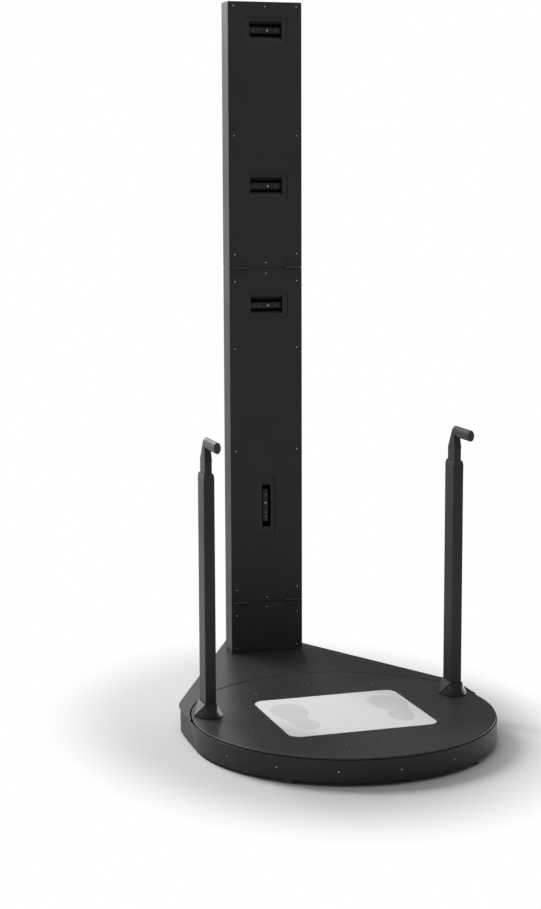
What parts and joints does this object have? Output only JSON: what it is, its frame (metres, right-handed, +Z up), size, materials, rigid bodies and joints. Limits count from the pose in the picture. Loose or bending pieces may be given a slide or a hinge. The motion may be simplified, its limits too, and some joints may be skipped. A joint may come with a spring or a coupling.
{
  "type": "three-dimensional body scanner",
  "caption": "Body scanner: a round turntable with footplate and two telescopic hand-hold posts in a low base, behind it a folding mast with recessed depth cameras.",
  "frame": {"origin": "on the floor under the middle of the whole outline", "axes": "+Z up, +Y from the turntable towards the mast, +X to the right of someone facing the mast"},
  "size_m": [0.872, 1.363, 2.1154],
  "materials": {
    "black_paint": "fine-textured black powder coat",
    "deck_paint": "satin black powder coat",
    "black_plastic": "matt moulded plastic",
    "camera_grey": "dark grey anodised",
    "white_glass": "back-painted white glass",
    "steel": "ground steel",
    "zinc_sheet": "zinc-coated sheet",
    "electronics": "circuit board and moulded cases"
  },
  "bodies": {
    "base": {"base_pan": "zinc_sheet", "base_skirt": "black_paint", "deck_cover": "deck_paint", "foot_front_left": "black_plastic", "foot_front_right": "black_plastic", "foot_middle_left": "black_plastic", "foot_middle_right": "black_plastic", "foot_rear_left": "black_plastic", "foot_rear_right": "black_plastic", "bearing_lower_race": "steel", "gearbox_housing": "zinc_sheet", "drive_motor": "zinc_sheet", "mast_support": "zinc_sheet", "power_supply": "electronics", "control_board": "electronics", "power_inlet": "black_plastic", "mast_foot_channel": "black_paint", "mast_foot_panel": "black_paint", "lower_seam_hinge_left_fixed_leaf": "black_paint", "lower_seam_hinge_right_fixed_leaf": "black_paint"},
    "turntable": {"turntable_disc": "deck_paint", "bearing_upper_race": "steel", "turntable_gear": "steel", "load_cell_1": "steel", "load_cell_2": "steel", "load_cell_3": "steel", "load_cell_4": "steel", "footplate": "white_glass", "left_post_foot": "deck_paint", "left_post_tube": "black_paint", "left_post_collar": "black_plastic", "right_post_foot": "deck_paint", "right_post_tube": "black_paint", "right_post_collar": "black_plastic"},
    "pinion": {"drive_pinion": "steel"},
    "cage": {"ball_cage": "steel"},
    "left_handle": {"left_handle_tube": "black_paint", "left_handle_grip": "black_plastic"},
    "right_handle": {"right_handle_tube": "black_paint", "right_handle_grip": "black_plastic"},
    "mast_lower": {"mast_lower_channel": "black_paint", "mast_lower_panel": "black_paint", "hip_window_insert": "black_paint", "knee_window_insert": "black_paint", "hip_depth_camera": "camera_grey", "knee_depth_camera": "camera_grey", "mast_hub": "electronics", "lower_seam_hinge_left_moving_leaf": "black_paint", "lower_seam_hinge_right_moving_leaf": "black_paint", "upper_seam_hinge_left_fixed_leaf": "black_paint", "upper_seam_hinge_right_fixed_leaf": "black_paint"},
    "mast_upper": {"mast_upper_channel": "black_paint", "mast_upper_panel": "black_paint", "top_window_insert": "black_paint", "chest_window_insert": "black_paint", "top_depth_camera": "camera_grey", "chest_depth_camera": "camera_grey", "upper_seam_hinge_left_moving_leaf": "black_paint", "upper_seam_hinge_right_moving_leaf": "black_paint"},
    "rocker": {"power_rocker": "black_plastic"}
  },
  "joints": [
    {"name": "turntable_turn", "type": "hinge", "parent": "base", "child": "turntable", "pos_m": [0, -0.2455, 0.036], "axis": [0, 0, 1], "continuous": true},
    {"name": "pinion_turn", "type": "hinge", "parent": "base", "child": "pinion", "pos_m": [0, 0.1085, 0.052], "axis": [0, 0, 1], "continuous": true},
    {"name": "cage_turn", "type": "hinge", "parent": "base", "child": "cage", "pos_m": [0, -0.2455, 0.036], "axis": [0, 0, 1], "continuous": true},
    {"name": "left_handle_slide", "type": "slide", "parent": "turntable", "child": "left_handle", "axis": [0, 0, 1], "range_m": [0, 0.2]},
    {"name": "right_handle_slide", "type": "slide", "parent": "turntable", "child": "right_handle", "axis": [0, 0, 1], "range_m": [0, 0.2]},
    {"name": "lower_mast_fold", "type": "hinge", "parent": "base", "child": "mast_lower", "pos_m": [0, 0.4803, 0.2415], "axis": [1, 0, 0], "range_deg": [0, 90]},
    {"name": "upper_mast_fold", "type": "hinge", "parent": "mast_lower", "child": "mast_upper", "pos_m": [0, 0.4803, 1.3052], "axis": [1, 0, 0], "range_deg": [0, 180]},
    {"name": "rocker_tilt", "type": "hinge", "parent": "base", "child": "rocker", "pos_m": [0, 0.6717, 0.05485], "axis": [1, 0, 0], "range_deg": [0, 16]}
  ],
  "couplings": [
    {"joint": "pinion_turn", "follows": "turntable_turn", "ratio": -5.5556},
    {"joint": "cage_turn", "follows": "turntable_turn", "ratio": 0.5}
  ]
}
